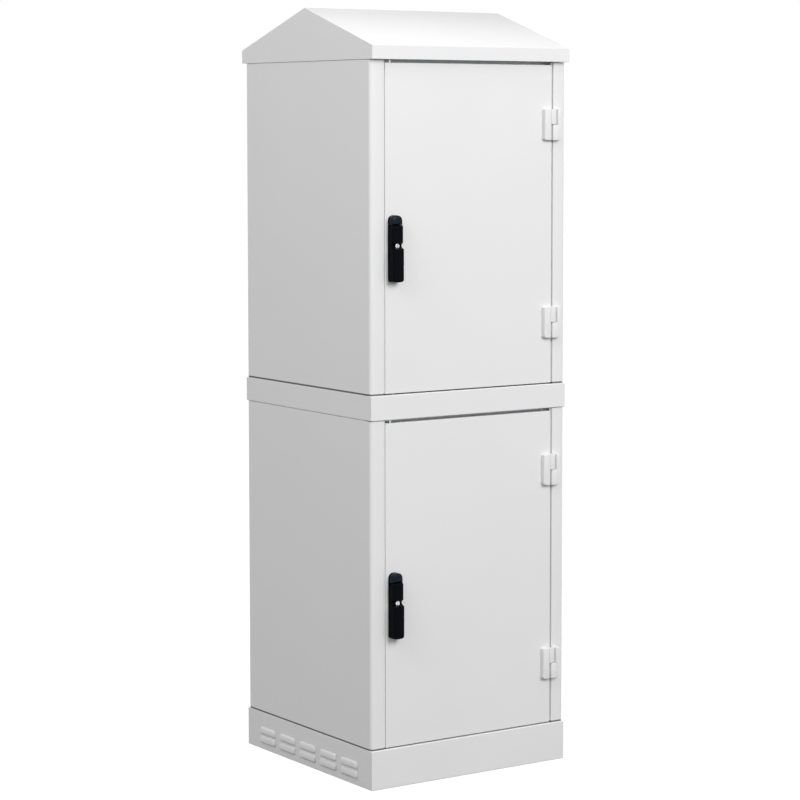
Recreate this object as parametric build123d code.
from build123d import *
import math
import os

# Roadside utility cabinet: two equal tiers on a vented plinth, with a collar
# between them and a gabled canopy on top. Each tier is a folded sheet shell with
# its own hinged door, swing handle and two lock rods.
# Millimetres. X is to the right seen from the front, Y to the back, Z up.
# The origin is on the ground, in the middle of the plinth's footprint.

# Driving dimensions of the outer form
BODY_WIDTH = 600.0
BODY_DEPTH = 600.0
TIER_HEIGHT = 828.0
PLINTH_HEIGHT = 100.0
COLLAR_HEIGHT = 62.5
RIM_PROUD = 3.0
FASCIA_HEIGHT = 34.0
RIDGE_RISE = 101.0
EAVE_OVERHANG = 14.0
GABLE_OVERHANG = 2.0

# Sheet thicknesses and bends, each bend measured inside the fold
SHELL_WALL = 2.0
PAN_WALL = 2.0
DOOR_WALL = 2.0
RIM_WALL = 2.5
ROOF_WALL = 2.0
CORNER_BEND = 8.0
RIM_FOLD = 1.5

# Front posts and the frame that the door seals on
POST_FACE = 39.0
SEAL_DEPTH = 24.0
SEAL_FLANGE = 20.0
FLOOR_SEAM = 3.0
CEILING_SEAM = 1.0
FLOOR_LIP = 26.0
CEILING_LIP = 30.0
PAN_LIP = 25.0
PAN_CORNER_CLEARANCE = 0.3

# Door
DOOR_SIDE_GAP = 5.0
DOOR_TOP_GAP = 8.0
DOOR_BOTTOM_GAP = 3.0
DOOR_DEPTH = 20.0
DOOR_LIP = 12.0
DOOR_EDGE_BEND = 1.0
GASKET_WIDTH = 10.0
GASKET_INSET = 1.0
SEAL_CLEARANCE = 0.3
STIFFENER_CROWN = 30.0
STIFFENER_BRIM = 14.0
STIFFENER_DEPTH = 13.0
STIFFENER_WALL = 1.5
STIFFENER_X = 60.0

# Plinth and collar
RIM_FLANGE = 60.0
ANCHOR_INSET = 35.0
ANCHOR_HOLE_RADIUS = 7.0
TIE_INSET_X = 35.0
TIE_INSET_Y = 38.0
TIE_HOLE = 9.0
LOUVRE_GROUPS = 5
LOUVRE_PITCH = 100.0
LOUVRE_LENGTH = 75.0
LOUVRE_HEIGHT = 13.5
LOUVRE_PROUD = 4.6
LOUVRE_WALL = 1.2
LOUVRE_ROWS = (22.0, 46.0)

# Canopy
BASE_FLANGE = 60.0
EAVE_SLOTS = 6
EAVE_SLOT_PITCH = 85.0
EAVE_SLOT_LENGTH = 60.0
EAVE_SLOT_WIDTH = 5.0

# Cable entry in the floors and in the lower ceiling
ENTRY_WIDTH = 300.0
ENTRY_DEPTH = 120.0
ENTRY_FROM_BACK = 60.0
GLAND_MARGIN = 20.0
GLAND_WALL = 2.0

# Ceiling vent slots under the canopy
VENT_SLOTS = 8
VENT_SLOT_PITCH = 40.0
VENT_SLOT_LENGTH = 120.0
VENT_SLOT_WIDTH = 8.0

# Equipment rails
RACK_HOLE_SPAN = 465.1
RACK_UNIT = 44.45
RACK_UNITS = 18
UNITS_PER_HOLE = 2
RACK_HOLE = 9.5
RAIL_FACE = 30.0
RAIL_SIDE = 30.0
RAIL_WALL = 2.0
RAIL_DEPTH = 85.0
BRACKET_HEIGHT = 40.0
BRACKET_LENGTH = 430.0
BRACKET_WALL = 2.0
BRACKET_END_OFFSET = 120.0

# Tie bolts and earth stud
BOLT_NECK = 8.0
BOLT_HEAD = 15.0
BOLT_HEAD_HEIGHT = 3.0
NUT_ACROSS = 13.0
NUT_HEIGHT = 6.0
EARTH_STUD_RADIUS = 4.0
EARTH_STUD_LENGTH = 22.0
EARTH_STUD_X = 240.0
EARTH_STUD_FROM_BACK = 120.0

# Hinges: lift-off blocks with a hidden pin
HINGE_HEIGHT = 80.0
HINGE_FROM_END = 160.0
HINGE_PROUD = 12.0
HINGE_AXIS_PROUD = 6.4
HINGE_BARREL_HALF = 6.0
HINGE_KNUCKLE_HALF = 12.0
HINGE_DOOR_REACH = 31.0
HINGE_POST_REACH = 21.0
HINGE_SLIT = 1.2
HINGE_PIN_RADIUS = 3.5
HINGE_PIN_LENGTH = 32.0
HINGE_PIN_END_CLEARANCE = 0.2
HINGE_CORNER = 2.5
RUNNING_CLEARANCE = 0.05

# Swing handle
HANDLE_CENTRE = 363.0
HANDLE_LENGTH = 165.0
HANDLE_WIDTH = 32.0
HANDLE_FROM_DOOR_EDGE = 8.0
BASE_THICKNESS = 6.0
BASE_CORNER = 4.0
HEAD_PROUD = 20.0
HEAD_CLEARANCE = 0.3
HEAD_EDGE = 3.0
LEVER_CLEARANCE = 0.5
LEVER_PIVOT_DROP = 36.0
LEVER_PIVOT_RISE = 7.5
LEVER_TOP_RADIUS = 12.0
LEVER_TOP_FACETS = 4
LEVER_SWING_CLEARANCE = 0.3
LEVER_LIFT_DEG = 35.0
LEVER_NECK_PROUD = 23.0
LEVER_GRIP_PROUD = 27.0
SCOOP_START_DROP = 68.0
SCOOP_END_DROP = 83.0
SCOOP_FLOOR_PROUD = 15.5
SCOOP_SLOPE = 4.0
LEVER_END_CHAMFER = 4.0
LEVER_EDGE = 2.0
LEVER_WALL = 3.0
TONGUE_WIDTH = 12.0
TONGUE_CLEARANCE = 0.3
TONGUE_EYE_HALF = 6.0
TONGUE_ARM_THICKNESS = 5.7
LEVER_PIN_RADIUS = 2.5
CYLINDER_RADIUS = 6.0
CYLINDER_PROUD = 19.0
KEYWAY_WIDTH = 1.8
KEYWAY_LENGTH = 7.0
KEYWAY_DEPTH = 4.0

# Spindle, cam and lock rods behind the door skin
SPINDLE_RADIUS = 9.0
SPINDLE_SHOULDER_DEPTH = 4.0
SPINDLE_SQUARE = 8.0
SPINDLE_SQUARE_CLEARANCE = 0.05
SPINDLE_END_DEPTH = 16.5
DOOR_CUTOUT = 20.0
ROD_DEPTH = 8.0
ROD_THICKNESS = 4.0
ROD_WIDTH = 5.0
ROD_OFFSET = 5.0
ROD_TIP_CLEARANCE = 0.8
ROD_SLOT_CLEARANCE = 1.0
STRIKE_CLEARANCE = 2.0
CAM_CLEARANCE = 0.5
CAM_WALL = 3.0
CAM_THROW = 15.0
CAM_BOSS_RADIUS = 5.5
CAM_HUB = 16.0
CAM_PIN_RADIUS = 2.2
CAM_SLOT_END_CLEARANCE = 0.4
CAM_SLOT_SIDE_CLEARANCE = 0.65
ROD_EYE_WEB = 2.0
ROD_EYE_HALF_HEIGHT = 7.0
GUIDE_FROM_DOOR_END = 60.0
GUIDE_HEIGHT = 14.0
GUIDE_WALL = 1.5
GUIDE_BRIM = 9.0
GUIDE_CLEARANCE = 0.3

# Places worked out from the sizes above
HALF_WIDTH = BODY_WIDTH / 2
FRONT_Y = -BODY_DEPTH / 2
BACK_Y = BODY_DEPTH / 2
LOWER_TIER_Z = PLINTH_HEIGHT
UPPER_TIER_Z = PLINTH_HEIGHT + TIER_HEIGHT + COLLAR_HEIGHT
CANOPY_Z = UPPER_TIER_Z + TIER_HEIGHT
TIERS = {"lower": LOWER_TIER_Z, "upper": UPPER_TIER_Z}

POST_INNER_X = HALF_WIDTH - POST_FACE
SEAL_EDGE_X = POST_INNER_X - SEAL_FLANGE
SEAL_Y = FRONT_Y + SEAL_DEPTH
INSIDE_X = HALF_WIDTH - SHELL_WALL
INSIDE_BACK_Y = BACK_Y - SHELL_WALL

DOOR_HALF_WIDTH = POST_INNER_X - DOOR_SIDE_GAP
DOOR_BACK_Y = FRONT_Y + DOOR_DEPTH
DOOR_SKIN_Y = FRONT_Y + DOOR_WALL
HINGE_X = POST_INNER_X - DOOR_SIDE_GAP / 2
HINGE_Y = FRONT_Y - HINGE_AXIS_PROUD

SPINDLE_X = -DOOR_HALF_WIDTH + HANDLE_FROM_DOOR_EDGE + HANDLE_WIDTH / 2
SPINDLE_DROP = HANDLE_WIDTH / 2
ENTRY_BACK_Y = INSIDE_BACK_Y - ENTRY_FROM_BACK
ENTRY_Y = ENTRY_BACK_Y - ENTRY_DEPTH / 2
ROD_MID_Y = FRONT_Y + ROD_DEPTH + ROD_THICKNESS / 2


def block(x, y, z):
    """A box between the two values of each pair."""
    size = (x[1] - x[0], y[1] - y[0], z[1] - z[0])
    middle = ((x[0] + x[1]) / 2, (y[0] + y[1]) / 2, (z[0] + z[1]) / 2)
    return Pos(*middle) * Box(*size)


def bar_along_y(x, z, radius, y_front, y_back):
    """A round bar that runs from front to back."""
    plane = Plane(origin=(x, y_back, z), z_dir=(0, -1, 0))
    return extrude(plane * Circle(radius), amount=y_back - y_front)


def bar_along_x(y, z, radius, x_left, x_right):
    """A round bar that runs from left to right."""
    plane = Plane(origin=(x_left, y, z), z_dir=(1, 0, 0))
    return extrude(plane * Circle(radius), amount=x_right - x_left)


def bar_along_z(x, y, radius, z_low, z_high):
    """An upright round bar."""
    return extrude(Pos(x, y, z_low) * Circle(radius), amount=z_high - z_low)


def outline(points, radii=None):
    """A closed face through the points, with a round of the given radius at each."""
    if radii is None:
        return make_face(Polyline(*points, close=True))
    return make_face(FilletPolyline(*points, radius=radii, close=True))


def folded_sheet(path, wall, bends):
    """Section of a folded sheet that lies on the left of its path; a bend of None is a sharp fold."""
    points = [Vector(*p) for p in path]
    runs = [(b - a).normalized() for a, b in zip(points, points[1:])]
    normals = [Vector(-run.Y, run.X) for run in runs]
    inner = [points[0] + normals[0] * wall]
    near_radii = [0.0]
    far_radii = [0.0]
    for index, bend in enumerate(bends):
        before, after = normals[index], normals[index + 1]
        corner = points[index + 1]
        inner.append(corner + (before + after) * (wall / (1 + before.dot(after))))
        turns_left = runs[index].X * runs[index + 1].Y > runs[index].Y * runs[index + 1].X
        inside, outside = (0.0, 0.0) if bend is None else (bend, bend + wall)
        near_radii.append(outside if turns_left else inside)
        far_radii.append(inside if turns_left else outside)
    inner.append(points[-1] + normals[-1] * wall)
    near_radii.append(0.0)
    far_radii.append(0.0)
    corners = points + inner[::-1]
    return outline([(c.X, c.Y) for c in corners], near_radii + far_radii[::-1])


def along_x(section, x_left, x_right):
    """A section drawn in Y and Z, carried from left to right."""
    return extrude(Plane.YZ.offset(x_left) * section, amount=x_right - x_left)


def along_y(section, y_front, y_back):
    """A section drawn in X and Z, carried from back to front."""
    return extrude(Plane.XZ.offset(-y_back) * section, amount=y_back - y_front)


def along_z(section, z_low, z_high):
    """A section drawn in X and Y, carried upwards."""
    return extrude(Pos(0, 0, z_low) * section, amount=z_high - z_low)


def shell(z):
    """Both sides, the back and the front posts of one tier, folded from one sheet."""
    right_half = [
        (SEAL_EDGE_X, SEAL_Y),
        (POST_INNER_X, SEAL_Y),
        (POST_INNER_X, FRONT_Y),
        (HALF_WIDTH, FRONT_Y),
        (HALF_WIDTH, BACK_Y),
    ]
    left_half = [(-x, y) for x, y in right_half[::-1]]
    bends = [None, None, CORNER_BEND, CORNER_BEND]
    section = folded_sheet(right_half + left_half, SHELL_WALL, bends + bends[::-1])
    return along_z(section, z + FLOOR_SEAM, z + TIER_HEIGHT - CEILING_SEAM)


def entry_hole(z_low, z_high):
    """The space of the rectangular cable entry between two heights."""
    return block(
        (-ENTRY_WIDTH / 2, ENTRY_WIDTH / 2),
        (ENTRY_Y - ENTRY_DEPTH / 2, ENTRY_BACK_Y),
        (z_low, z_high),
    )


def tie_points():
    """The four places, in plan, where bolts tie one level to the next."""
    half_x = HALF_WIDTH - TIE_INSET_X
    half_y = BODY_DEPTH / 2 - TIE_INSET_Y
    return [(x, y) for x in (-half_x, half_x) for y in (-half_y, half_y)]


def square_bar(x, y, side, z_low, z_high):
    """An upright square bar."""
    return block((x - side / 2, x + side / 2), (y - side / 2, y + side / 2), (z_low, z_high))


def tie_holes(z_low, z_high):
    """The square holes for the tie bolts between two heights."""
    return [square_bar(x, y, TIE_HOLE, z_low, z_high) for x, y in tie_points()]


def tray(z, front_lip):
    """A folded tray with its plate at the bottom, whose front lip fills the seal frame."""
    middle = folded_sheet(
        [(SEAL_Y, z + front_lip), (SEAL_Y, z), (INSIDE_BACK_Y, z), (INSIDE_BACK_Y, z + PAN_LIP)],
        PAN_WALL,
        [None, None],
    )
    side = folded_sheet(
        [(SEAL_Y + PAN_WALL, z), (INSIDE_BACK_Y, z), (INSIDE_BACK_Y, z + PAN_LIP)],
        PAN_WALL,
        [None],
    )
    pan = along_x(middle, -SEAL_EDGE_X, SEAL_EDGE_X)
    for left, right in ((-INSIDE_X, -SEAL_EDGE_X), (SEAL_EDGE_X, INSIDE_X)):
        pan += along_x(side, left, right)
    for left in (-INSIDE_X, INSIDE_X - PAN_WALL):
        lip_y = (SEAL_Y + PAN_WALL, INSIDE_BACK_Y)
        pan += block((left, left + PAN_WALL), lip_y, (z, z + PAN_LIP))
    notch = CORNER_BEND + PAN_CORNER_CLEARANCE
    corner = [(INSIDE_X, INSIDE_BACK_Y), (INSIDE_X - notch, INSIDE_BACK_Y), (INSIDE_X, INSIDE_BACK_Y - notch)]
    relief = along_z(outline(corner), z, z + PAN_LIP)
    pan -= relief
    pan -= mirror(relief, about=Plane.YZ)
    return pan - tie_holes(z, z + PAN_WALL)


def floor_pan(z):
    """Floor of a tier, with the rectangular cable entry."""
    return tray(z, FLOOR_LIP) - entry_hole(z, z + PAN_WALL)


def ceiling_pan(z, vented):
    """Ceiling of a tier: a tray turned over, with a cable entry or with vent slots."""
    top = z + TIER_HEIGHT
    pan = mirror(tray(top, CEILING_LIP), about=Plane.XY.offset(top))
    if not vented:
        return pan - entry_hole(top - PAN_WALL, top)
    for index in range(VENT_SLOTS):
        x = (index - (VENT_SLOTS - 1) / 2) * VENT_SLOT_PITCH
        x_span = (x - VENT_SLOT_WIDTH / 2, x + VENT_SLOT_WIDTH / 2)
        y_span = (-VENT_SLOT_LENGTH / 2, VENT_SLOT_LENGTH / 2)
        pan -= block(x_span, y_span, (top - PAN_WALL, top))
    return pan


def gland_plate(z):
    """Blank plate over the cable entry, laid on the floor."""
    low = z + PAN_WALL
    x_span = (-ENTRY_WIDTH / 2 - GLAND_MARGIN, ENTRY_WIDTH / 2 + GLAND_MARGIN)
    y_span = (ENTRY_Y - ENTRY_DEPTH / 2 - GLAND_MARGIN, ENTRY_BACK_Y + GLAND_MARGIN)
    return block(x_span, y_span, (low, low + GLAND_WALL))


def rack_rail(z, side):
    """Upright angle with a row of square holes; side is -1 on the left and 1 on the right."""
    hole_x = RACK_HOLE_SPAN / 2
    face_y = FRONT_Y + RAIL_DEPTH
    face_inner = hole_x - RACK_UNIT / 4
    face_outer = face_inner + RAIL_FACE
    path = [(face_inner, face_y), (face_outer, face_y), (face_outer, face_y + RAIL_SIDE)]
    low = z + PAN_WALL
    high = z + TIER_HEIGHT - PAN_WALL
    rail = along_z(folded_sheet(path, RAIL_WALL, [None]), low, high)
    first = (low + high - (RACK_UNITS - UNITS_PER_HOLE) * RACK_UNIT) / 2
    for unit in range(0, RACK_UNITS, UNITS_PER_HOLE):
        middle = first + unit * RACK_UNIT
        x_span = (hole_x - RACK_HOLE / 2, hole_x + RACK_HOLE / 2)
        z_span = (middle - RACK_HOLE / 2, middle + RACK_HOLE / 2)
        rail -= block(x_span, (face_y, face_y + RAIL_WALL), z_span)
    return rail if side > 0 else mirror(rail, about=Plane.YZ)


def rail_brackets(z, side):
    """Two channels that carry a rail from its side wall."""
    rail_outer = RACK_HOLE_SPAN / 2 - RACK_UNIT / 4 + RAIL_FACE
    front = FRONT_Y + RAIL_DEPTH + RAIL_WALL
    channels = []
    for low in (z + BRACKET_END_OFFSET, z + TIER_HEIGHT - BRACKET_END_OFFSET - BRACKET_HEIGHT):
        path = [
            (rail_outer, low + BRACKET_HEIGHT),
            (rail_outer, low),
            (INSIDE_X, low),
            (INSIDE_X, low + BRACKET_HEIGHT),
        ]
        section = folded_sheet(path, BRACKET_WALL, [None, None])
        channel = along_y(section, front, front + BRACKET_LENGTH)
        channels.append(channel if side > 0 else mirror(channel, about=Plane.YZ))
    return Compound(children=channels)


def rim(low, height):
    """A square ring of channel, open in the middle, with folded upper and lower edges."""
    half_x = HALF_WIDTH
    half_y = BODY_DEPTH / 2 + RIM_PROUD
    high = low + height
    ring = block((-half_x, half_x), (-half_y, half_y), (low, high))
    folds = ring.edges().filter_by(Axis.Z, reverse=True)
    ring = chamfer(folds, RIM_FOLD)
    inner_x = half_x - RIM_WALL
    inner_y = half_y - RIM_WALL
    ring -= block((-inner_x, inner_x), (-inner_y, inner_y), (low + RIM_WALL, high - RIM_WALL))
    open_x = half_x - RIM_FLANGE
    open_y = half_y - RIM_FLANGE
    ring -= block((-open_x, open_x), (-open_y, open_y), (low, high))
    return ring


def strike_hole(x, z_low, z_high):
    """The slot in a flange that a lock rod goes into."""
    half_x = ROD_WIDTH / 2 + STRIKE_CLEARANCE
    half_y = ROD_THICKNESS / 2 + STRIKE_CLEARANCE
    return block((x - half_x, x + half_x), (ROD_MID_Y - half_y, ROD_MID_Y + half_y), (z_low, z_high))


def louvre_hood(y, z, grow):
    """Outer form of one louvre on the left side, or its hollow when grow is negative."""
    wall_x = -HALF_WIDTH
    height = LOUVRE_HEIGHT + grow
    proud = LOUVRE_PROUD + grow
    section = outline(
        [
            (wall_x + RIM_WALL, z),
            (wall_x - proud, z),
            (wall_x - proud, z + height / 4),
            (wall_x, z + height),
            (wall_x + RIM_WALL, z + height),
        ]
    )
    half = LOUVRE_LENGTH / 2 + grow
    return along_y(section, y - half, y + half)


def plinth():
    """Plinth ring with pressed louvres in both sides and holes for the ground anchors."""
    ring = rim(0.0, PLINTH_HEIGHT)
    hoods = []
    hollows = []
    for group in range(LOUVRE_GROUPS):
        y = (group - (LOUVRE_GROUPS - 1) / 2) * LOUVRE_PITCH
        for z in LOUVRE_ROWS:
            hoods.append(louvre_hood(y, z, 0.0))
            hollows.append(louvre_hood(y, z, -LOUVRE_WALL))
    hoods += [mirror(hood, about=Plane.YZ) for hood in hoods]
    hollows += [mirror(hollow, about=Plane.YZ) for hollow in hollows]
    ring = ring + hoods
    ring = ring - hollows
    half_x = HALF_WIDTH - ANCHOR_INSET
    half_y = BODY_DEPTH / 2 - ANCHOR_INSET
    for x, y in ((-half_x, -half_y), (-half_x, half_y), (half_x, -half_y), (half_x, half_y)):
        ring -= bar_along_z(x, y, ANCHOR_HOLE_RADIUS, 0.0, RIM_WALL)
    ring -= tie_holes(PLINTH_HEIGHT - RIM_WALL, PLINTH_HEIGHT)
    return ring - strike_hole(SPINDLE_X + ROD_OFFSET, PLINTH_HEIGHT - RIM_WALL, PLINTH_HEIGHT)


def collar():
    """Ring between the two tiers."""
    low = LOWER_TIER_Z + TIER_HEIGHT
    high = low + COLLAR_HEIGHT
    ring = rim(low, COLLAR_HEIGHT)
    ring -= tie_holes(low, low + RIM_WALL)
    ring -= tie_holes(high - RIM_WALL, high)
    ring -= strike_hole(SPINDLE_X - ROD_OFFSET, low, low + RIM_WALL)
    return ring - strike_hole(SPINDLE_X + ROD_OFFSET, high - RIM_WALL, high)


def gable_section(half_depth, low, eave, ridge):
    """Section of the canopy: upright fascias under two slopes."""
    points = [(-half_depth, low), (half_depth, low), (half_depth, eave), (0.0, ridge), (-half_depth, eave)]
    return outline(points)


def canopy():
    """Gabled roof folded from sheet, hollow, with a base flange that sits on the upper tier."""
    half_x = HALF_WIDTH + GABLE_OVERHANG
    half_y = BODY_DEPTH / 2 + EAVE_OVERHANG
    eave = CANOPY_Z + FASCIA_HEIGHT
    ridge = eave + RIDGE_RISE
    slope = math.atan2(RIDGE_RISE, half_y)
    drop = ROOF_WALL / math.cos(slope)
    inner_eave = eave + ROOF_WALL * math.tan(slope) - drop
    roof = along_x(gable_section(half_y, CANOPY_Z, eave, ridge), -half_x, half_x)
    hollow = gable_section(half_y - ROOF_WALL, CANOPY_Z + ROOF_WALL, inner_eave, ridge - drop)
    roof -= along_x(hollow, -half_x + ROOF_WALL, half_x - ROOF_WALL)
    open_x = half_x - BASE_FLANGE
    open_y = half_y - BASE_FLANGE
    base_z = (CANOPY_Z, CANOPY_Z + ROOF_WALL)
    roof -= block((-open_x, open_x), (-open_y, open_y), base_z)
    slot_y = (half_y + FRONT_Y * -1) / 2
    for index in range(EAVE_SLOTS):
        x = (index - (EAVE_SLOTS - 1) / 2) * EAVE_SLOT_PITCH
        x_span = (x - EAVE_SLOT_LENGTH / 2, x + EAVE_SLOT_LENGTH / 2)
        for y in (-slot_y, slot_y):
            roof -= block(x_span, (y - EAVE_SLOT_WIDTH / 2, y + EAVE_SLOT_WIDTH / 2), base_z)
    roof -= tie_holes(*base_z)
    return roof - strike_hole(SPINDLE_X - ROD_OFFSET, *base_z)


def tie_bolt(x, y, low, high):
    """Square-necked bolt that clamps two plates: flat head below and square nut above."""
    bolt = square_bar(x, y, BOLT_NECK, low, high)
    bolt += square_bar(x, y, BOLT_HEAD, low - BOLT_HEAD_HEIGHT, low)
    return bolt + square_bar(x, y, NUT_ACROSS, high, high + NUT_HEIGHT)


def tie_bolts(joint_z, below, above):
    """Four bolts through the plates that meet at joint_z."""
    return [tie_bolt(x, y, joint_z - below, joint_z + above) for x, y in tie_points()]


def earth_studs():
    """Threaded earth stud with its nut on each floor."""
    studs = []
    y = INSIDE_BACK_Y - EARTH_STUD_FROM_BACK
    for z in TIERS.values():
        low = z + PAN_WALL
        nut = Pos(EARTH_STUD_X, y, low) * RegularPolygon(NUT_ACROSS / math.sqrt(3), 6)
        stud = extrude(nut, amount=NUT_HEIGHT)
        studs.append(stud + bar_along_z(EARTH_STUD_X, y, EARTH_STUD_RADIUS, low, low + EARTH_STUD_LENGTH))
    return Compound(children=studs)


def door_span(z):
    """Lowest and highest point of the door of the tier that starts at z."""
    return z + DOOR_BOTTOM_GAP, z + TIER_HEIGHT - DOOR_TOP_GAP


def door_panel(z):
    """Door skin with returned edges and inner lips, and its cut-outs for the lock."""
    low, high = door_span(z)
    half = DOOR_HALF_WIDTH
    panel = block((-half, half), (FRONT_Y, DOOR_BACK_Y), (low, high))
    front_edges = panel.faces().sort_by(Axis.Y)[0].edges()
    panel = chamfer(front_edges, DOOR_EDGE_BEND)
    inner = half - DOOR_WALL
    inner_z = (low + DOOR_WALL, high - DOOR_WALL)
    panel -= block((-inner, inner), (DOOR_SKIN_Y, DOOR_BACK_Y - DOOR_WALL), inner_z)
    window = half - DOOR_LIP
    window_z = (low + DOOR_LIP, high - DOOR_LIP)
    panel -= block((-window, window), (DOOR_SKIN_Y, DOOR_BACK_Y), window_z)
    cutout_x = (SPINDLE_X - DOOR_CUTOUT / 2, SPINDLE_X + DOOR_CUTOUT / 2)
    cutout_z = (spindle_z(z) - DOOR_CUTOUT / 2, spindle_z(z) + DOOR_CUTOUT / 2)
    panel -= block(cutout_x, (FRONT_Y, DOOR_SKIN_Y), cutout_z)
    half_x = ROD_WIDTH / 2 + ROD_SLOT_CLEARANCE
    half_y = ROD_THICKNESS / 2 + ROD_SLOT_CLEARANCE
    rod_y = (ROD_MID_Y - half_y, ROD_MID_Y + half_y)
    upper_x = SPINDLE_X - ROD_OFFSET
    lower_x = SPINDLE_X + ROD_OFFSET
    panel -= block((upper_x - half_x, upper_x + half_x), rod_y, (high - DOOR_WALL, high))
    panel -= block((lower_x - half_x, lower_x + half_x), rod_y, (low, low + DOOR_WALL))
    return panel


def door_gasket(z):
    """Foam seal on the door's inner lips."""
    low, high = door_span(z)
    outer = DOOR_HALF_WIDTH - GASKET_INSET
    inner = outer - GASKET_WIDTH
    y_span = (DOOR_BACK_Y, SEAL_Y - SEAL_CLEARANCE)
    ring = block((-outer, outer), y_span, (low + GASKET_INSET, high - GASKET_INSET))
    inset = GASKET_INSET + GASKET_WIDTH
    return ring - block((-inner, inner), y_span, (low + inset, high - inset))


def door_stiffener(z):
    """Upright hat section welded to the inside of the door skin."""
    low, high = door_span(z)
    crown = STIFFENER_CROWN / 2
    foot = crown + STIFFENER_BRIM
    skin = DOOR_SKIN_Y
    top = skin + STIFFENER_DEPTH
    path = [
        (STIFFENER_X + foot, skin + STIFFENER_WALL),
        (STIFFENER_X + crown, skin + STIFFENER_WALL),
        (STIFFENER_X + crown, top),
        (STIFFENER_X - crown, top),
        (STIFFENER_X - crown, skin + STIFFENER_WALL),
        (STIFFENER_X - foot, skin + STIFFENER_WALL),
    ]
    section = folded_sheet(path, STIFFENER_WALL, [None] * 4)
    return along_z(section, low + DOOR_WALL, high - DOOR_WALL)


def hinge_middles(z):
    """Heights of the middles of the two hinges of a tier."""
    return z + HINGE_FROM_END, z + TIER_HEIGHT - HINGE_FROM_END


def hinge_leaf(middle, side):
    """Half of a lift-off hinge: side is -1 for the door's half and 1 for the post's, which has the pin."""
    reach = HINGE_DOOR_REACH if side < 0 else HINGE_POST_REACH
    half = HINGE_HEIGHT / 2
    front = FRONT_Y - HINGE_PROUD
    flank = [
        (HINGE_KNUCKLE_HALF, front),
        (reach - HINGE_CORNER, front),
        (reach, front + HINGE_CORNER),
        (reach, FRONT_Y),
        (HINGE_KNUCKLE_HALF, FRONT_Y),
    ]
    leaf = along_z(outline([(HINGE_X + side * x, y) for x, y in flank]), middle - half, middle + half)
    barrel = HINGE_BARREL_HALF
    knuckle = [
        (HINGE_KNUCKLE_HALF, front),
        (-barrel / 2, front),
        (-barrel, front + barrel / 2),
        (-barrel, HINGE_Y + barrel / 2),
        (-barrel / 2, HINGE_Y + barrel),
        (HINGE_KNUCKLE_HALF, HINGE_Y + barrel),
    ]
    knuckle_low = middle + HINGE_SLIT / 2 if side < 0 else middle - half
    knuckle_high = middle + half if side < 0 else middle - HINGE_SLIT / 2
    section = outline([(HINGE_X + side * x, y) for x, y in knuckle])
    leaf += along_z(section, knuckle_low, knuckle_high)
    pin_top = middle + HINGE_PIN_LENGTH
    if side > 0:
        return leaf + bar_along_z(HINGE_X, HINGE_Y, HINGE_PIN_RADIUS, knuckle_high, pin_top)
    bore_radius = HINGE_PIN_RADIUS + RUNNING_CLEARANCE
    return leaf - bar_along_z(HINGE_X, HINGE_Y, bore_radius, knuckle_low, pin_top + HINGE_PIN_END_CLEARANCE)


def hinge_leaves(z, side):
    """The leaves of a tier's two hinges on the door, side -1, or on the post, side 1."""
    return Compound(children=[hinge_leaf(middle, side) for middle in hinge_middles(z)])


def handle_top_z(z):
    """Height of the top of the handle of the tier that starts at z."""
    return z + HANDLE_CENTRE + HANDLE_LENGTH / 2


def spindle_z(z):
    """Height of the axis that the handle turns on."""
    return handle_top_z(z) - SPINDLE_DROP


def handle_outline(z, corner):
    """Front view of the handle: round at the top, with small corners at the bottom."""
    half = HANDLE_WIDTH / 2
    top = handle_top_z(z)
    bottom = top - HANDLE_LENGTH
    left, right = SPINDLE_X - half, SPINDLE_X + half
    points = [
        (left, top - half),
        (left, bottom + corner),
        (left + corner, bottom),
        (right - corner, bottom),
        (right, bottom + corner),
        (right, top - half),
    ]
    return make_face([Polyline(*points), ThreePointArc(points[-1], (SPINDLE_X, top), points[0])])


def handle_base(z):
    """Escutcheon plate between the lever and the door."""
    plate = along_y(handle_outline(z, BASE_CORNER), FRONT_Y - BASE_THICKNESS, FRONT_Y)
    bore_radius = SPINDLE_RADIUS + RUNNING_CLEARANCE
    return plate - bar_along_y(SPINDLE_X, spindle_z(z), bore_radius, FRONT_Y - BASE_THICKNESS, FRONT_Y)


def lever_pivot(z):
    """Y and Z of the pin that the lever lifts on."""
    y = FRONT_Y - BASE_THICKNESS - LEVER_CLEARANCE - LEVER_PIVOT_RISE
    return y, handle_top_z(z) - LEVER_PIVOT_DROP


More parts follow.
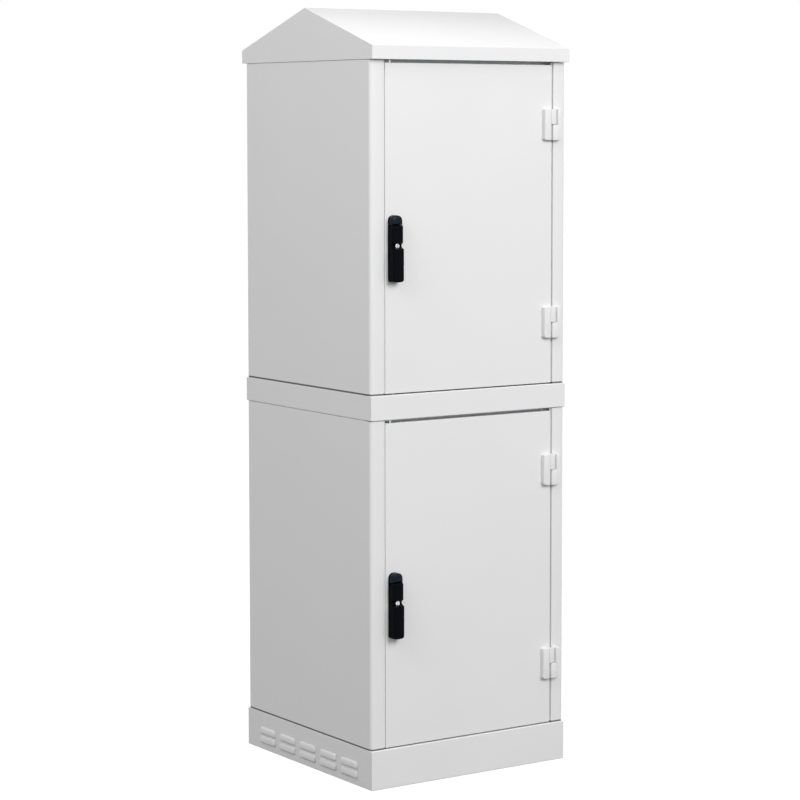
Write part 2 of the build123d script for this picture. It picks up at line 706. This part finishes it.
def handle_rotor(z):
    """Turning head of the handle with a tongue for the lever and the spindle."""
    pin_y, pin_z = lever_pivot(z)
    axis_z = spindle_z(z)
    half = HANDLE_WIDTH / 2
    back = FRONT_Y - BASE_THICKNESS - HEAD_CLEARANCE
    front = FRONT_Y - HEAD_PROUD
    swing = LEVER_TOP_RADIUS + LEVER_SWING_CLEARANCE
    left, right = SPINDLE_X - half, SPINDLE_X + half
    sides = Polyline((left, axis_z), (left, pin_z + swing), (right, pin_z + swing), (right, axis_z))
    crown = ThreePointArc((right, axis_z), (SPINDLE_X, axis_z + half), (left, axis_z))
    head = along_y(make_face([sides, crown]), front, back)
    round_edges = head.faces().sort_by(Axis.Y)[0].edges().filter_by(GeomType.CIRCLE)
    head = chamfer(round_edges, HEAD_EDGE)
    tongue = [
        (back, axis_z),
        (back, pin_z),
        (pin_y + TONGUE_EYE_HALF / 2, pin_z - TONGUE_EYE_HALF),
        (pin_y - TONGUE_EYE_HALF / 2, pin_z - TONGUE_EYE_HALF),
        (pin_y - TONGUE_EYE_HALF, pin_z),
        (back - TONGUE_ARM_THICKNESS, pin_z + swing),
        (back - TONGUE_ARM_THICKNESS, axis_z),
    ]
    head += along_x(outline(tongue), SPINDLE_X - TONGUE_WIDTH / 2, SPINDLE_X + TONGUE_WIDTH / 2)
    eye_x = (SPINDLE_X - TONGUE_WIDTH / 2, SPINDLE_X + TONGUE_WIDTH / 2)
    head -= bar_along_x(pin_y, pin_z, LEVER_PIN_RADIUS + RUNNING_CLEARANCE, *eye_x)
    shoulder = FRONT_Y + SPINDLE_SHOULDER_DEPTH
    head += bar_along_y(SPINDLE_X, axis_z, SPINDLE_RADIUS, back, shoulder)
    square = SPINDLE_SQUARE / 2
    square_x = (SPINDLE_X - square, SPINDLE_X + square)
    square_z = (axis_z - square, axis_z + square)
    return head + block(square_x, (shoulder, FRONT_Y + SPINDLE_END_DEPTH), square_z)


def lever_section(z):
    """Side view of the lever in Y and Z: heel, faceted top, neck, scoop and grip."""
    pin_y, pin_z = lever_pivot(z)
    top = handle_top_z(z)
    bottom = top - HANDLE_LENGTH
    lift = math.radians(LEVER_LIFT_DEG)
    back = pin_y + LEVER_PIVOT_RISE
    heel_z = pin_z + LEVER_PIVOT_RISE * (1 - math.cos(lift)) / math.sin(lift)
    chord = math.sqrt(LEVER_TOP_RADIUS**2 - LEVER_PIVOT_RISE**2)
    crest_y = pin_y + LEVER_PIVOT_RISE * math.cos(lift) - chord * math.sin(lift)
    crest_z = pin_z + LEVER_PIVOT_RISE * math.sin(lift) + chord * math.cos(lift)
    neck_y = FRONT_Y - LEVER_NECK_PROUD
    neck_z = pin_z + math.sqrt(LEVER_TOP_RADIUS**2 - (pin_y - neck_y) ** 2)
    first = math.atan2(crest_z - pin_z, crest_y - pin_y)
    last = math.atan2(neck_z - pin_z, neck_y - pin_y)
    crown = []
    for step in range(LEVER_TOP_FACETS + 1):
        angle = first + (last - first) * step / LEVER_TOP_FACETS
        crown.append((pin_y + LEVER_TOP_RADIUS * math.cos(angle), pin_z + LEVER_TOP_RADIUS * math.sin(angle)))
    grip_y = FRONT_Y - LEVER_GRIP_PROUD
    scoop_y = FRONT_Y - SCOOP_FLOOR_PROUD
    scoop = [
        (neck_y, top - SCOOP_START_DROP),
        (scoop_y, top - SCOOP_START_DROP - SCOOP_SLOPE),
        (scoop_y, top - SCOOP_END_DROP + SCOOP_SLOPE),
        (grip_y, top - SCOOP_END_DROP),
    ]
    return outline([(back, bottom), (back, heel_z), *crown, *scoop, (grip_y, bottom)])


def handle_lever(z):
    """Lever that folds flat over the base, hollow behind the grip, with its cross pin."""
    pin_y, pin_z = lever_pivot(z)
    top = handle_top_z(z)
    bottom = top - HANDLE_LENGTH
    half = HANDLE_WIDTH / 2
    x_span = (SPINDLE_X - half, SPINDLE_X + half)
    grip_y = FRONT_Y - LEVER_GRIP_PROUD
    lever = along_x(lever_section(z), *x_span)
    end_face = lever.faces().sort_by(Axis.Z)[0]
    lever = chamfer(end_face.edges().filter_by(Axis.Y), LEVER_END_CHAMFER)
    grip_face = lever.faces().sort_by(Axis.Y)[0]
    lever = chamfer(grip_face.edges().filter_by(Axis.Z), LEVER_EDGE)
    slot_half = TONGUE_WIDTH / 2 + TONGUE_CLEARANCE
    eye_reach = math.hypot(TONGUE_EYE_HALF / 2, TONGUE_EYE_HALF) + TONGUE_CLEARANCE
    slot_y = (pin_y - eye_reach, pin_y + LEVER_PIVOT_RISE)
    slot_z = (pin_z - eye_reach, pin_z + LEVER_TOP_RADIUS)
    lever -= block((SPINDLE_X - slot_half, SPINDLE_X + slot_half), slot_y, slot_z)
    lever += bar_along_x(pin_y, pin_z, LEVER_PIN_RADIUS, SPINDLE_X - slot_half, SPINDLE_X + slot_half)
    pocket_x = (x_span[0] + LEVER_WALL, x_span[1] - LEVER_WALL)
    pocket_y = (grip_y + LEVER_WALL, pin_y + LEVER_PIVOT_RISE)
    pocket_z = (bottom + LEVER_WALL, top - SCOOP_END_DROP - LEVER_WALL)
    lever -= block(pocket_x, pocket_y, pocket_z)
    bore = CYLINDER_RADIUS + RUNNING_CLEARANCE
    return lever - bar_along_y(SPINDLE_X, cylinder_z(z), bore, grip_y, pin_y + LEVER_PIVOT_RISE)


def cylinder_z(z):
    """Height of the lock cylinder's axis, in the middle of the scoop."""
    return handle_top_z(z) - (SCOOP_START_DROP + SCOOP_END_DROP) / 2


def lock_cylinder(z):
    """Lock cylinder in the lever's scoop, with an upright keyway."""
    back = FRONT_Y - BASE_THICKNESS - LEVER_CLEARANCE
    front = FRONT_Y - CYLINDER_PROUD
    axis_z = cylinder_z(z)
    barrel = bar_along_y(SPINDLE_X, axis_z, CYLINDER_RADIUS, front, back)
    keyway_x = (SPINDLE_X - KEYWAY_WIDTH / 2, SPINDLE_X + KEYWAY_WIDTH / 2)
    keyway_z = (axis_z - KEYWAY_LENGTH / 2, axis_z + KEYWAY_LENGTH / 2)
    return barrel - block(keyway_x, (front, front + KEYWAY_DEPTH), keyway_z)


def cam_pin_offset():
    """Sideways and upright distance of each cam pin from the spindle, with the door locked."""
    return CAM_THROW * math.sin(math.pi / 4)


def latch_cam(z):
    """Cam on the spindle's square, with a pin for each lock rod."""
    axis_z = spindle_z(z)
    front = FRONT_Y + ROD_DEPTH + ROD_THICKNESS + CAM_CLEARANCE
    back = front + CAM_WALL
    web = Rectangle(2 * (CAM_THROW + CAM_BOSS_RADIUS), 2 * CAM_BOSS_RADIUS)
    web = chamfer(web.vertices(), CAM_BOSS_RADIUS / 2)
    hole = SPINDLE_SQUARE + 2 * SPINDLE_SQUARE_CLEARANCE
    plate = Rot(0, 0, 135) * (web + Rectangle(CAM_HUB, CAM_HUB)) - Rectangle(hole, hole)
    cam = along_y(Pos(SPINDLE_X, axis_z) * plate, front, back)
    offset = cam_pin_offset()
    for side in (-1, 1):
        x = SPINDLE_X + side * offset
        cam += bar_along_y(x, axis_z - side * offset, CAM_PIN_RADIUS, FRONT_Y + ROD_DEPTH, front)
    return cam


def lock_rod(z, side):
    """Flat lock rod: side is 1 for the one that goes up and -1 for the one that goes down."""
    axis_z = spindle_z(z)
    offset = cam_pin_offset()
    low, high = z + ROD_TIP_CLEARANCE, z + TIER_HEIGHT - ROD_TIP_CLEARANCE
    reach = high - axis_z if side > 0 else axis_z - low
    slot_near = offset - CAM_PIN_RADIUS - CAM_SLOT_END_CLEARANCE
    slot_far = CAM_THROW + CAM_PIN_RADIUS + CAM_SLOT_END_CLEARANCE
    eye_near = slot_near - ROD_EYE_WEB
    eye_far = slot_far + ROD_EYE_WEB
    eye_low = offset - ROD_EYE_HALF_HEIGHT
    eye_high = offset + ROD_EYE_HALF_HEIGHT
    bar_near = ROD_OFFSET - ROD_WIDTH / 2
    bar_far = ROD_OFFSET + ROD_WIDTH / 2
    neck_far = bar_far + ROD_WIDTH
    jog_low = eye_high + ROD_WIDTH + CAM_BOSS_RADIUS
    jog_high = jog_low + ROD_WIDTH
    points = [
        (-bar_near, reach),
        (-bar_far, reach),
        (-bar_far, jog_high + ROD_WIDTH / 2),
        (-neck_far, jog_low + ROD_WIDTH / 2),
        (-neck_far, eye_high),
        (-eye_far, eye_high),
        (-eye_far, eye_low),
        (-eye_near, eye_low),
        (-eye_near, eye_high),
        (-bar_far, eye_high),
        (-bar_far, jog_low),
        (-bar_near, jog_high),
    ]
    section = outline(points)
    slot_half = CAM_PIN_RADIUS + CAM_SLOT_SIDE_CLEARANCE
    slot = Rectangle(slot_far - slot_near, 2 * slot_half)
    section -= Pos(-(slot_near + slot_far) / 2, offset) * slot
    if side < 0:
        section = Rot(0, 0, 180) * section
    front = FRONT_Y + ROD_DEPTH
    return along_y(Pos(SPINDLE_X, axis_z) * section, front, front + ROD_THICKNESS)


def rod_guides(z):
    """A strap over each lock rod, welded inside the door skin."""
    low, high = door_span(z)
    straps = []
    inner = ROD_WIDTH / 2 + GUIDE_CLEARANCE
    outer = inner + GUIDE_WALL
    skin = DOOR_SKIN_Y
    crown = FRONT_Y + ROD_DEPTH + ROD_THICKNESS + GUIDE_CLEARANCE + GUIDE_WALL
    path = [
        (outer + GUIDE_BRIM, skin + GUIDE_WALL),
        (outer, skin + GUIDE_WALL),
        (outer, crown),
        (-outer, crown),
        (-outer, skin + GUIDE_WALL),
        (-outer - GUIDE_BRIM, skin + GUIDE_WALL),
    ]
    section = folded_sheet(path, GUIDE_WALL, [None] * 4)
    places = (
        (SPINDLE_X - ROD_OFFSET, high - GUIDE_FROM_DOOR_END),
        (SPINDLE_X + ROD_OFFSET, low + GUIDE_FROM_DOOR_END),
    )
    for x, middle in places:
        strap = along_z(section, middle - GUIDE_HEIGHT / 2, middle + GUIDE_HEIGHT / 2)
        straps.append(Pos(x, 0, 0) * strap)
    return Compound(children=straps)


def build():
    """Every piece of the cabinet by its name."""
    pieces = {
        "plinth": plinth(),
        "tier_collar": collar(),
        "roof_canopy": canopy(),
        "earth_studs": earth_studs(),
    }
    lower_top = LOWER_TIER_Z + TIER_HEIGHT
    ties = tie_bolts(LOWER_TIER_Z, RIM_WALL, PAN_WALL)
    ties += tie_bolts(lower_top, PAN_WALL, RIM_WALL)
    ties += tie_bolts(UPPER_TIER_Z, RIM_WALL, PAN_WALL)
    pieces["tier_bolts"] = Compound(children=ties)
    pieces["roof_bolts"] = Compound(children=tie_bolts(CANOPY_Z, PAN_WALL, ROOF_WALL))
    for tier, z in TIERS.items():
        pieces[f"{tier}_shell"] = shell(z)
        pieces[f"{tier}_floor"] = floor_pan(z)
        pieces[f"{tier}_ceiling"] = ceiling_pan(z, vented=tier == "upper")
        pieces[f"{tier}_gland_plate"] = gland_plate(z)
        for hand, side in (("left", -1), ("right", 1)):
            pieces[f"{tier}_rack_rail_{hand}"] = rack_rail(z, side)
            pieces[f"{tier}_rail_brackets_{hand}"] = rail_brackets(z, side)
        pieces[f"{tier}_door_panel"] = door_panel(z)
        pieces[f"{tier}_door_gasket"] = door_gasket(z)
        pieces[f"{tier}_door_stiffener"] = door_stiffener(z)
        pieces[f"{tier}_hinge_door_leaves"] = hinge_leaves(z, side=-1)
        pieces[f"{tier}_hinge_post_leaves"] = hinge_leaves(z, side=1)
        pieces[f"{tier}_handle_base"] = handle_base(z)
        pieces[f"{tier}_handle_rotor"] = handle_rotor(z)
        pieces[f"{tier}_handle_lever"] = handle_lever(z)
        pieces[f"{tier}_lock_cylinder"] = lock_cylinder(z)
        pieces[f"{tier}_latch_cam"] = latch_cam(z)
        pieces[f"{tier}_lock_rod_up"] = lock_rod(z, side=1)
        pieces[f"{tier}_lock_rod_down"] = lock_rod(z, side=-1)
        pieces[f"{tier}_rod_guides"] = rod_guides(z)
    return pieces


os.makedirs("parts", exist_ok=True)
for name, piece in build().items():
    export_step(piece, f"parts/{name}.step")
